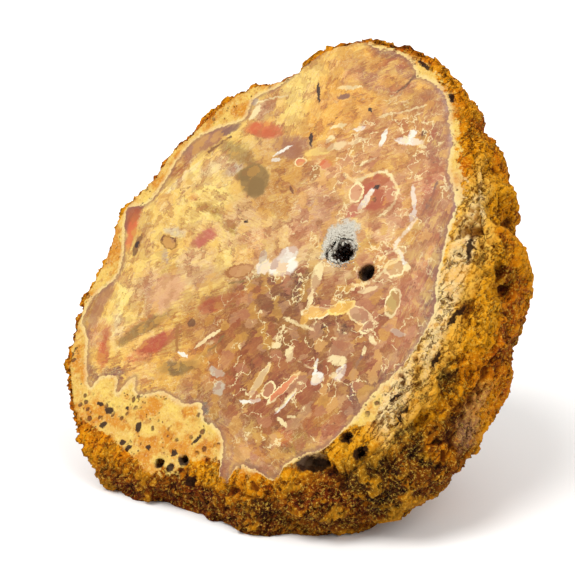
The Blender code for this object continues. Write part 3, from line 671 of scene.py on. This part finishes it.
def signed_distance(points, loop):
    """Distance of each point from a closed loop, above 0 inside it."""
    nearest = np.full(len(points), np.inf)
    crossings = np.zeros(len(points), dtype=int)
    for start, end in zip(loop, np.roll(loop, -1, 0)):
        along = end - start
        share = np.clip((points - start) @ along / (along @ along), 0, 1)
        gap = points - start - share[:, None] * along
        nearest = np.minimum(nearest, np.hypot(gap[:, 0], gap[:, 1]))
        spans = (start[1] > points[:, 1]) != (end[1] > points[:, 1])
        rise = end[1] - start[1] if end[1] != start[1] else 1.0
        crossings += spans & (points[:, 0] < start[0] + (points[:, 1] - start[1]) * along[0] / rise)
    return np.where(crossings % 2 == 1, nearest, -nearest)


def inside(local, right, up, half_width, half_height, turn):
    """1 at the middle of an ellipse on the face, falling to 0 at its edge."""
    turn = math.radians(turn)
    across, along = local[:, 0] - right, local[:, 1] - up
    first = (across * math.cos(turn) + along * math.sin(turn)) / half_width
    second = (along * math.cos(turn) - across * math.sin(turn)) / half_height
    return smooth_step(1.0, 0.6, np.hypot(first, second))


def rim_radius(local, face):
    """How far the face reaches from its middle, in each of many directions."""
    angles = np.arctan2(local[face, 1], local[face, 0])
    bins = ((angles + math.pi) / (2 * math.pi) * RIM_BINS).astype(int) % RIM_BINS
    reach = np.zeros(RIM_BINS)
    np.maximum.at(reach, bins, np.hypot(local[face, 0], local[face, 1]))
    return np.convolve(np.r_[reach[-2:], reach, reach[:2]], np.ones(5) / 5, "valid")


def rim_gap(local, reach):
    """Distance of each point inwards from the rim of the face, measured towards its middle."""
    angles = np.arctan2(local[:, 1], local[:, 0])
    place = (angles + math.pi) / (2 * math.pi) * RIM_BINS - 0.5
    low = np.floor(place).astype(int)
    share = place - low
    radius = reach[low % RIM_BINS] * (1 - share) + reach[(low + 1) % RIM_BINS] * share
    return radius - np.hypot(local[:, 0], local[:, 1]), np.degrees(angles) % 360


def bark_height(point, knob_height, pore_depth):
    """How far the bark stands out at a face-frame point, in millimetres."""
    lump = noise.fractal(point / LUMP_SIZE, 0.9, 2.0, 3)
    ridge = 0.4 - abs(noise.fractal(point / RIDGE_SIZE, 0.8, 2.1, 4)) * 1.7
    crumb = noise.fractal(point / CRUMB_SIZE, 0.6, 2.2, 4)
    run = Vector((point.x * RUN.y - point.y * RUN.x, (point.x * RUN.x + point.y * RUN.y) / 4, point.z))
    furrow = max(0.0, 1 - abs(noise.fractal(run / GROOVE_SIZE, 0.8, 2.1, 3)) * 7)
    pore_gate = noise.noise(point / 15 + Vector((7, 3, 1))) * 2.6 + 0.45
    pore = max(0.0, 0.4 - noise.voronoi(point / PORE_SIZE)[0][0]) / 0.4
    height = knob_height * (2.2 * lump + 1.0 * ridge + 0.9 * crumb - 1.4 * furrow)
    return height - pore_depth * pore * max(0.0, min(1.0, pore_gate))


class BuildStone(bpy.types.Operator):
    """Builds the stone: the polished face, the porous rind and the rough bark"""

    bl_idname = "fossil.build_stone"
    bl_label = "Stone"

    def execute(self, context):
        settings = context.scene.fossil_stone
        stone = copy_of_node("petrified_wood", "stone")
        remesh(stone, settings.detail)
        self.shape(stone, settings)
        thin_out_back(stone)
        stone.data.materials.append(stone_material())
        for face in stone.data.polygons:
            face.use_smooth = True
        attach(stone, "root")
        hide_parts("petrified_wood")
        return {"FINISHED"}

    def shape(self, stone, settings):
        """Roughens the bark, wears the rim and keeps what the material reads of the shape."""
        world, outward = places(stone), normals(stone)
        into, out_of = np.array(FACE_FRAME.inverted()), np.array(FACE_FRAME)
        local = world @ into[:3, :3].T + into[:3, 3]
        facing = outward @ (out_of[:3, 2] / MM)
        face = (local[:, 2] > -FACE_SLACK) & (facing > FACE_ALIKE)
        local[face, 2] = 0
        gap, angles = rim_gap(local, rim_radius(local, face))
        heart = signed_distance(local[:, :2], smooth_closed(HEART_EDGE, 4))
        turns, widths, depths = np.array(RIM_WEAR).T
        width = np.interp(angles, turns, widths)
        worn = np.interp(angles, turns, depths) * np.clip(1 - gap / width, 0, 1) ** 2
        fade = smooth_step(0.0, ROUGH_FROM, -local[:, 2])
        fade[face] = 0
        rough = np.maximum(fade, smooth_step(1.0, 0.0, gap / width) * RIM_ROUGHNESS)
        rough = np.maximum(rough, smooth_step(-1.0, -3.0, heart) * RIND_ROUGHNESS)
        for shape in CRUMBLY:
            rough = np.maximum(rough, inside(local, *shape) * smooth_step(0.5, -2.0, heart))
        rough[world[:, 2] < REST_HEIGHT] *= REST_ROUGHNESS
        heights = np.zeros(len(local))
        for i in np.nonzero(rough > 0)[0]:
            heights[i] = bark_height(Vector(local[i]), settings.knob_height / MM,
                                     settings.pore_depth / MM)
        local[:, 2] -= worn * face
        world = local @ out_of[:3, :3].T + out_of[:3, 3]
        moves = np.clip(heights - BARK_SINK, BARK_LOWEST, BARK_HIGHEST) * rough
        moves[face] = np.minimum(moves[face], 0)
        world += outward * moves[:, None] * MM
        world = np.clip(world, *np.array(CAD_BOX))
        stone.data.vertices.foreach_set("co", world.ravel())
        stone.data.update()
        hole = (gap > HOLE_FROM_RIM) & (facing > -0.3) & (local[:, 2] < -FACE_SLACK)
        hole &= local[:, 2] > -HOLE_DEPTH
        add_attribute(stone, "heart", np.clip(heart, -30, 30))
        add_attribute(stone, "height", heights - np.median(heights[rough > 0.5]))
        add_attribute(stone, "bark", np.maximum(fade, 1 - gap / width) * ~hole)


def grain_of(graph, point):
    """The grain at a face point: a streak value from 0 to 1 and the way that the grain runs."""
    streak, way = None, None
    for angle, regions in GRAIN:
        angle = math.radians(angle)
        along = graph.local(point, (0, 0, 0), (0, 0, angle), STREAK_SIZE)
        value = graph.noise(along, 1.0, 3.0, 0.65)
        direction = (math.cos(angle), math.sin(angle), 0)
        if streak is None:
            streak, way = value, graph.vectors("ADD", direction, (0, 0, 0))
            continue
        share = spots(graph, point, regions, GRAIN_EDGE)
        streak = graph.blend(share, streak, value)
        way = graph.add("ShaderNodeMix", {"data_type": "VECTOR"}, {0: share, 4: way, 5: direction}, 1)
    return streak, way


def spot_nearness(graph, point, right, up, half_width, half_height, turn, reach):
    """1 at the middle of an ellipse on the face, falling evenly to 0 at reach times its size."""
    return graph.ball(graph.local(point, (right, up, 0), (0, 0, math.radians(turn)),
                                  (half_width * reach, half_height * reach, ANY_DEPTH)))


def spot(graph, point, right, up, half_width, half_height, turn, softness, strength):
    """Strength inside an ellipse on the face, falling to 0 across its softened edge."""
    nearness = spot_nearness(graph, point, right, up, half_width, half_height, turn, 1 + softness)
    return graph.add("ShaderNodeMapRange", {"interpolation_type": "SMOOTHSTEP", "clamp": False},
                     {"Value": nearness, "From Max": 2 * softness / (1 + softness), "To Max": strength})


def spots(graph, point, shapes, softness):
    """1 inside any of several ellipses on the face, falling to 0 across their softened edges."""
    share = spot(graph, point, *shapes[0], softness, 1)
    for shape in shapes[1:]:
        share = graph.maths("MAXIMUM", share, spot(graph, point, *shape, softness, 1))
    return share


def vein_distance(graph, point, start, end):
    """Distance of a face point from the line between two others."""
    start, end = Vector((*start, 0)), Vector((*end, 0))
    along = end - start
    gap = graph.vectors("SUBTRACT", point, tuple(start))
    share = graph.add("ShaderNodeVectorMath", {"operation": "DOT_PRODUCT"},
                      {0: gap, 1: tuple(along / along.length_squared)}, "Value")
    share = graph.add("ShaderNodeClamp", {}, {"Value": share})
    foot = graph.scaled(tuple(along), share)
    return graph.add("ShaderNodeVectorMath", {"operation": "DISTANCE"}, {0: gap, 1: foot}, "Value")


def heartwood_colour(graph, point):
    """The pattern of the fossil wood: washes drawn out along the grain, fragments and veins."""
    streak, way = grain_of(graph, point)
    torn = graph.warp(point, 2.4, 1.5, 4.0, 0.7)
    drawn = graph.scaled(way, (streak - 0.5) * 4.5)
    loose = graph.warp(torn, 8, 2.0)
    flowing = graph.vectors("ADD", loose, drawn)
    settled = graph.vectors("ADD", graph.scaled(torn, 0.7), graph.scaled(loose, 0.3))
    colour = look("straw")
    for name, *shape, strength in WASHES:
        colour = graph.mix(spot(graph, flowing, *shape, WASH_EDGE, strength), colour, look(name))
    zone = graph.noise(flowing, 15, 3.0, 0.55)
    colour = graph.paint(colour, "blush", zone, 0.54, 0.56, 0.3)
    colour = graph.paint(colour, "ochre", zone, 0.45, 0.43, 0.3)
    colour = graph.paint(colour, "mauve", abs(zone - 0.55), 0.012, 0.004, 0.5)
    large = graph.noise(flowing, 5.5, 4.0, 0.6)
    colour = graph.paint(colour, "butter", large, 0.56, 0.6, 0.45)
    colour = graph.paint(colour, "brick", large, 0.46, 0.41, 0.45)
    colour = graph.paint(colour, "cream", abs(large - 0.53), 0.012, 0.004, 0.55)
    colour = graph.paint(colour, "umber", abs(large - 0.43), 0.014, 0.005, 0.6)
    threads = abs(graph.noise(torn, 6.5, 3.0) - 0.5)
    fine = graph.noise(torn, 1.1, 3.0, 0.7)
    colour = graph.paint(colour, "cream", fine, 0.52, 0.7, 0.3)
    colour = graph.paint(colour, "brown", fine, 0.46, 0.3, 0.35)
    colour = graph.paint(colour, "butter", streak, 0.52, 0.66, 0.35)
    colour = graph.paint(colour, "brick", streak, 0.47, 0.34, 0.35)
    for name, *shape, strength in STAINS:
        colour = graph.mix(spot(graph, flowing, *shape, STAIN_EDGE, strength), colour, look(name))
    for tint, *shape, strength in TINTS:
        share = spot(graph, flowing, *shape, TINT_EDGE, strength)
        colour = graph.mix(share, colour, tint, "MULTIPLY")
    for fill, outline, *shape in FRAGMENTS:
        nearness = spot_nearness(graph, settled, *shape, FRAGMENT_REACH)
        if outline:
            colour = graph.paint(colour, outline, nearness, 0.12, 0.2)
        low, high = (0.3, 0.38) if outline else (0.2, 0.4)
        colour = graph.paint(colour, fill, nearness, low, high, 0.85)
    for name, half_width, points in VEINS:
        distance = None
        for start, end in zip(points, points[1:]):
            piece = vein_distance(graph, settled, start, end)
            distance = piece if distance is None else graph.maths("MINIMUM", distance, piece)
        colour = graph.paint(colour, name, distance, half_width + 0.3, half_width - 0.2, 0.9)
    chips = graph.cells(graph.vectors("ADD", torn, drawn), 3.6, "Color")
    chip, other = graph.part(chips, "X"), graph.part(chips, "Y")
    broken = spots(graph, point, BROKEN, BROKEN_EDGE)
    colour = graph.mix(graph.step(chip, 0.72, 0.76) * broken * 0.35, colour, look("blush"))
    colour = graph.paint(colour, "brown", chip, 0.3, 0.26, 0.3)
    colour = graph.mix(graph.step(other, 0.24, 0.2) * broken * 0.4, colour, look("brick"))
    colour = graph.paint(colour, "honey", other, 0.8, 0.84, 0.35)
    gate = graph.step(graph.noise(point, 11, 2), 0.48, 0.54) * broken
    colour = graph.mix(graph.step(threads, 0.016, 0.006) * gate * 0.8, colour, look("cream"))
    return colour


def pit_nearness(graph, point):
    """1 in the middle of a hole in the face, falling to 0 away from the holes."""
    nearest = 0.0
    for shape in PITS:
        nearest = graph.maths("MAXIMUM", spot_nearness(graph, point, *shape, PIT_REACH), nearest)
    return nearest


def with_pits(graph, colour, pit):
    """A colour with painted shade in the holes of the face: dark brown towards their edges and near-black
    inside.
    """
    colour = graph.paint(colour, "brown_and_shade", pit, 0.1, 0.3, 0.55)
    return graph.paint(colour, "painted_shade", pit, 0.25, 0.4, 0.92)


def rind_surface(graph, point, pit, edge):
    """The porous rind, cut flush in the face."""
    torn = graph.warp(point, 2.0, 0.8, 4.0, 0.7)
    broad = graph.noise(torn, 9, 4, 0.6)
    colour = graph.mix(graph.step(broad, 0.4, 0.56), look("amber"), look("straw"))
    colour = graph.paint(colour, "lemon", broad, 0.56, 0.66, 0.7)
    middle = graph.noise(torn, 2.8, 4, 0.65)
    colour = graph.paint(colour, "lemon", middle, 0.54, 0.66, 0.6)
    colour = graph.paint(colour, "rust", middle, 0.45, 0.34, 0.6)
    fine = graph.noise(point, 0.8, 3, 0.7)
    colour = graph.paint(colour, "cream", fine, 0.52, 0.7, 0.4)
    colour = graph.paint(colour, "ochre", fine, 0.46, 0.32, 0.4)
    colour = graph.paint(colour, "cream", edge, -1.8, -0.4, 0.5)
    colour = graph.mix(spot(graph, torn, *PALE_RIND, 0.5, 0.55), colour, look("cream"))
    pore = graph.step(graph.cells(torn, 3.2), 0.34, 0.18) * graph.step(graph.noise(point, 10, 2), 0.5, 0.6)
    small = graph.step(graph.cells(torn, 1.5), 0.26, 0.14)
    small = small * graph.step(graph.noise(point, 5, 2), 0.53, 0.62)
    hole = graph.maths("MAXIMUM", pore, small * 0.8)
    # Painted shade: the bumped pores are filled with dark brown.
    colour = graph.mix(hole * 0.85, colour, look("brown_and_shade"))
    relief = graph.bump(fine * 0.3 + middle * 0.5 - hole * 0.8)
    return graph.surface(with_pits(graph, colour, pit), 0.7, 0.25, Normal=relief)


def bark_surface(graph, point, pit, height):
    """The rough crumbly bark: rust and amber, with painted shade in its furrows and hollows and a painted
    highlight on its crumbs.
    """
    torn = graph.warp(point, 3.0, 1.6, 4.0, 0.7)
    broad = graph.noise(torn, 11, 4, 0.65)
    colour = graph.mix(graph.step(broad, 0.4, 0.6), look("rust"), look("amber"))
    wide = graph.noise(torn, 30, 3, 0.6)
    colour = graph.paint(colour, "honey", wide, 0.5, 0.6, 0.55)
    colour = graph.paint(colour, "umber", wide, 0.46, 0.38, 0.55)
    for name, place, half_sizes, strength in BARK_PATCHES_AND_SHADE:
        half_sizes = tuple(PATCH_REACH * size for size in half_sizes)
        near = graph.ball(graph.local(torn, place, (0, 0, 0), half_sizes))
        colour = graph.mix(graph.step(near, 0.05, 0.5) * strength, colour, look(name))
    middle = graph.noise(torn, 3.2, 5, 0.7)
    colour = graph.paint(colour, "amber", middle, 0.52, 0.62, 0.35)
    colour = graph.darken(colour, (0.36, 0.22, 0.11), middle, 0.46, 0.37, 0.8)
    run = graph.local(torn, (0, 0, 0), (0, 0, RUN_ANGLE), FURROW_SIZE)
    furrow = graph.step(abs(graph.noise(run, 1.0, 4, 0.6) - 0.5), 0.03, 0.008)
    # Painted shade in the furrows: the colour is darkened along them.
    colour = graph.mix(furrow * 0.8, colour, (0.2, 0.1, 0.04), "MULTIPLY")
    fine = graph.noise(point, 0.9, 4, 0.75)
    colour = graph.paint(colour, "lemon", fine, 0.52, 0.64, 0.6)
    colour = graph.darken(colour, (0.3, 0.16, 0.06), fine, 0.46, 0.3, 0.8)
    # Painted shade in the hollows of the bark's relief, and a painted highlight in honey on its raised
    # crumbs.
    colour = graph.darken(colour, (0.2, 0.1, 0.04), height, -0.5, -1.9, 0.85)
    colour = graph.paint(colour, "honey", height, 0.3, 1.4, 0.45)
    colour = graph.add("ShaderNodeHueSaturation", {},
                       {"Hue": 0.489, "Saturation": 1.06, "Value": 1.25, "Color": colour})
    relief = graph.bump(fine * 0.6 + middle * 1.2 - furrow * 0.6)
    return graph.surface(with_pits(graph, colour, pit), 0.85, 0.1, Normal=relief)


def stone_material():
    """Heartwood inside its jagged edge, rind round it, and bark over what is crumbly or behind."""
    graph = Graph("petrified_wood")
    point = graph.face_point()
    behind = graph.part(point, "Z") * -1
    jag = graph.noise(point, 2.2, 4, 0.65) - 0.5
    edge = graph.attribute("heart") + jag * 3
    wood = heartwood_colour(graph, point)
    wood = graph.paint(wood, "plum", edge, 1.8, 0.3, 0.55)
    ragged = graph.warp(point, 2.0, 1.3, 3.0, 0.7)
    pit = pit_nearness(graph, ragged) * graph.step(behind, 12, 9)
    sugar = graph.noise(point, 0.7, 3, 0.8)
    blurred = graph.warp(point, 5.0, 5.0, 4.0, 0.65)
    near = spot_nearness(graph, blurred, *POCKET_HALO, PIT_REACH)
    halo = graph.step(near, 0.06, 0.3)
    dark_grain = graph.step(sugar, 0.5, 0.36) * graph.step(near, 0.15, 0.5)
    grains = graph.mix(dark_grain, look("white"), look("slate"))
    # Painted shade: the holes are darkened, and whatever lies behind the face, in the holes and the
    # pocket, fades to nearly black from half a millimetre to 3.5 mm deep.
    wood = with_pits(graph, graph.mix(halo * 0.9, wood, grains), pit)
    hollow = graph.step(behind, 0.5, 3.5)
    wood = graph.mix(hollow * 0.9, wood, look("painted_shade"))
    gloss = graph.blend(graph.maths("MAXIMUM", hollow, halo), 0.38, 0.8)
    heartwood = graph.surface(wood, gloss, 0.4, Normal=graph.bump(sugar * halo * 1.2))
    heart = graph.step(edge, -0.2, 0.2)
    rind = rind_surface(graph, point, pit, edge)
    bark = bark_surface(graph, point, pit, graph.attribute("height"))
    crumbly = spots(graph, point, CRUMBLY, BROKEN_EDGE) * graph.step(edge, 0.2, -0.6)
    crumbly = graph.maths("MAXIMUM", crumbly, graph.attribute("bark"))
    crumbly = graph.step(crumbly + jag * 1.6, 0.35, 0.6)
    return graph.finish(graph.join(crumbly, graph.join(heart, rind, heartwood), bark))


class BuildCrust(bpy.types.Operator):
    """Builds the crust of small quartz crystals in the larger pocket"""

    bl_idname = "fossil.build_crust"
    bl_label = "Crystal crust"

    def execute(self, context):
        settings = context.scene.fossil_crust
        crust = copy_of_node("quartz_druse", "crystal_crust")
        self.add_crystals(crust, settings)
        crust.data.materials.append(crystal_material())
        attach(crust, "root")
        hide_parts("quartz_druse")
        return {"FINISHED"}

    def add_crystals(self, crust, settings):
        """Sets crystals on the inner side of the crust and round the pocket's mouth."""
        chance = random.Random(5)
        middle = FACE_FRAME @ POCKET_MIDDLE
        inner = [face for face in crust.data.polygons if face.normal.dot(middle - face.center) > 0]
        weights = [face.area for face in inner]
        model = self.crystal(settings)
        crystals = []
        for face in chance.choices(inner, weights, k=settings.crystal_count):
            corners = [crust.data.vertices[index].co for index in face.vertices[:3]]
            shares = [chance.random() + 0.05 for corner in corners]
            foot = sum((share * corner for share, corner in zip(shares, corners)), Vector()) / sum(shares)
            crystals.append((foot, face.normal, chance.uniform(*POCKET_SIZES)))
        for k in range(settings.crystal_count):
            angle, reach = chance.uniform(0, 2 * math.pi), chance.gauss(MOUTH_RADIUS, MOUTH_SPREAD)
            foot = Vector((POCKET_MIDDLE.x + reach * math.cos(angle),
                           POCKET_MIDDLE.y + reach * math.sin(angle), -MOUTH_DEPTH))
            crystals.append((FACE_FRAME @ foot, FACE_NORMAL, chance.uniform(*MOUTH_SIZES)))
        for foot, way, size in crystals:
            copy = model.copy()
            copy.data = model.data.copy()
            bpy.context.scene.collection.objects.link(copy)
            lean = Vector([chance.gauss(0, CRYSTAL_LEAN) for axis in range(3)])
            turn = (way + lean).to_track_quat("Z", "Y") @ Quaternion((0, 0, 1), chance.uniform(0, 3))
            copy.data.transform(Matrix.LocRotScale(foot, turn, Vector((size,) * 3)))
            copy.select_set(True)
        bpy.data.objects.remove(model)
        crust.select_set(True)
        bpy.context.view_layer.objects.active = crust
        bpy.ops.object.join()

    def crystal(self, settings):
        """One six-sided crystal that stands on the origin and ends in a point."""
        length = settings.crystal_length
        middle = length * (CRYSTAL_SHAFT / 2 - CRYSTAL_ROOT)
        bpy.ops.object.select_all(action="DESELECT")
        bpy.ops.mesh.primitive_cylinder_add(vertices=6, radius=length * CRYSTAL_RADIUS,
                                            depth=length * CRYSTAL_SHAFT, location=(0, 0, middle))
        crystal = bpy.context.object
        bpy.ops.object.transform_apply(location=True)
        bpy.ops.object.mode_set(mode="EDIT")
        bpy.ops.mesh.select_mode(type="FACE")
        bpy.ops.mesh.select_all(action="DESELECT")
        bpy.ops.object.mode_set(mode="OBJECT")
        top = max(crystal.data.polygons, key=lambda face: face.center.z)
        top.select = True
        bpy.ops.object.mode_set(mode="EDIT")
        rise = (0, 0, length * CRYSTAL_POINT)
        bpy.ops.mesh.extrude_region_move(TRANSFORM_OT_translate={"value": rise})
        bpy.ops.mesh.merge(type="CENTER")
        bpy.ops.object.mode_set(mode="OBJECT")
        crystal.select_set(False)
        return crystal


def crystal_material():
    """Grey and white quartz, with painted shade that turns it near-black deep in the pocket."""
    graph = Graph("quartz_crystals")
    point = graph.face_point()
    broad = graph.noise(point, 2.5, 3, 0.7)
    colour = graph.mix(graph.step(broad, 0.4, 0.6), look("slate"), look("white"))
    colour = graph.paint(colour, "slate", graph.noise(point, 0.6, 2), 0.5, 0.65, 0.5)
    # Painted shade: the crystals turn near-black from 1 to 3.6 mm behind the face, the depth wavering with
    # the broad noise.
    behind = graph.part(point, "Z") * -1 + (broad - 0.5) * 3
    colour = graph.paint(colour, "painted_shade", behind, 1.0, 3.6)
    return graph.finish(graph.surface(colour, 0.25, 0.5))


def towards(azimuth, elevation):
    """The way from the object to a camera or light there."""
    level = math.cos(elevation)
    return Vector((math.sin(azimuth) * level, -math.cos(azimuth) * level, math.sin(elevation)))


class BuildStage(bpy.types.Operator):
    """Builds the floor, the lights and the camera"""

    bl_idname = "fossil.build_stage"
    bl_label = "Stage"

    def execute(self, context):
        settings = context.scene.fossil_stage
        scene = context.scene
        bpy.ops.object.select_all(action="DESELECT")
        bpy.ops.mesh.primitive_plane_add(size=FLOOR_SIZE)
        floor = context.object
        floor.name = "floor"
        floor.data.materials.append(floor_material(settings))
        scene.world = bpy.data.worlds.new("room")
        scene.world.use_nodes = True
        sky = scene.world.node_tree.nodes["Background"]
        sky.inputs["Color"].default_value = (1, 1, 1, 1)
        sky.inputs["Strength"].default_value = settings.sky
        self.add_light("key_light", *KEY_PLACE, settings.key)
        self.add_light("fill_light", *FILL_PLACE, settings.fill)
        scene.view_settings.view_transform = "Standard"
        self.add_camera(scene)
        return {"FINISHED"}

    def add_light(self, name, azimuth, elevation, spread, strength):
        """A far soft light that shines on the stone."""
        data = bpy.data.lights.new(name, "SUN")
        data.angle = math.radians(spread)
        data.energy = strength
        light = bpy.data.objects.new(name, data)
        bpy.context.scene.collection.objects.link(light)
        way = towards(math.radians(azimuth), math.radians(elevation))
        light.location = FACE_MIDDLE + way
        light.rotation_euler = way.to_track_quat("Z", "Y").to_euler()

    def add_camera(self, scene):
        """The camera that sees the stone as the picture shows it."""
        data = bpy.data.cameras.new("camera")
        data.lens = LENS
        camera = bpy.data.objects.new("camera", data)
        scene.collection.objects.link(camera)
        way = towards(CAMERA_AZIMUTH, CAMERA_ELEVATION)
        camera.location = CAMERA_AIM + way * CAMERA_DISTANCE
        camera.rotation_euler = way.to_track_quat("Z", "Y").to_euler()
        scene.camera = camera


def floor_material(settings):
    """A plain pale floor with a faint mottle."""
    graph = Graph("pale_floor")
    here = graph.add("ShaderNodeTexCoord", {}, {}, "Object")
    pale = tuple(settings.floor_colour)
    mottle = graph.noise(here, 0.2, 3)
    colour = graph.mix(mottle, pale, tuple(0.97 * part for part in pale))
    return graph.finish(graph.surface(colour, 0.9 - mottle * 0.1, 0.2))


class FossilPanel(bpy.types.Panel):
    """The steps that build the end piece and its stage"""

    bl_idname = "VIEW3D_PT_fossil"
    bl_label = "Petrified wood"
    bl_space_type = "VIEW_3D"
    bl_region_type = "UI"
    bl_category = "Fossil"

    def draw(self, context):
        for operator, group in STEPS:
            self.layout.operator(operator.bl_idname)
            settings = getattr(context.scene, group)
            for name in type(settings).__annotations__:
                self.layout.prop(settings, name)


STEPS = ((BuildStone, "fossil_stone"), (BuildCrust, "fossil_crust"), (BuildStage, "fossil_stage"))
GROUPS = {"fossil_stone": StoneSettings, "fossil_crust": CrustSettings,
          "fossil_stage": StageSettings}
CLASSES = (*GROUPS.values(), *(operator for operator, _ in STEPS), FossilPanel)


def register():
    for made in CLASSES:
        bpy.utils.register_class(made)
    for name, group in GROUPS.items():
        setattr(bpy.types.Scene, name, bpy.props.PointerProperty(type=group))


def unregister():
    for name in GROUPS:
        delattr(bpy.types.Scene, name)
    for made in reversed(CLASSES):
        bpy.utils.unregister_class(made)


def main():
    register()
    bpy.ops.fossil.build_stone()
    bpy.ops.fossil.build_crust()
    bpy.ops.fossil.build_stage()


if __name__ == "__main__":
    main()
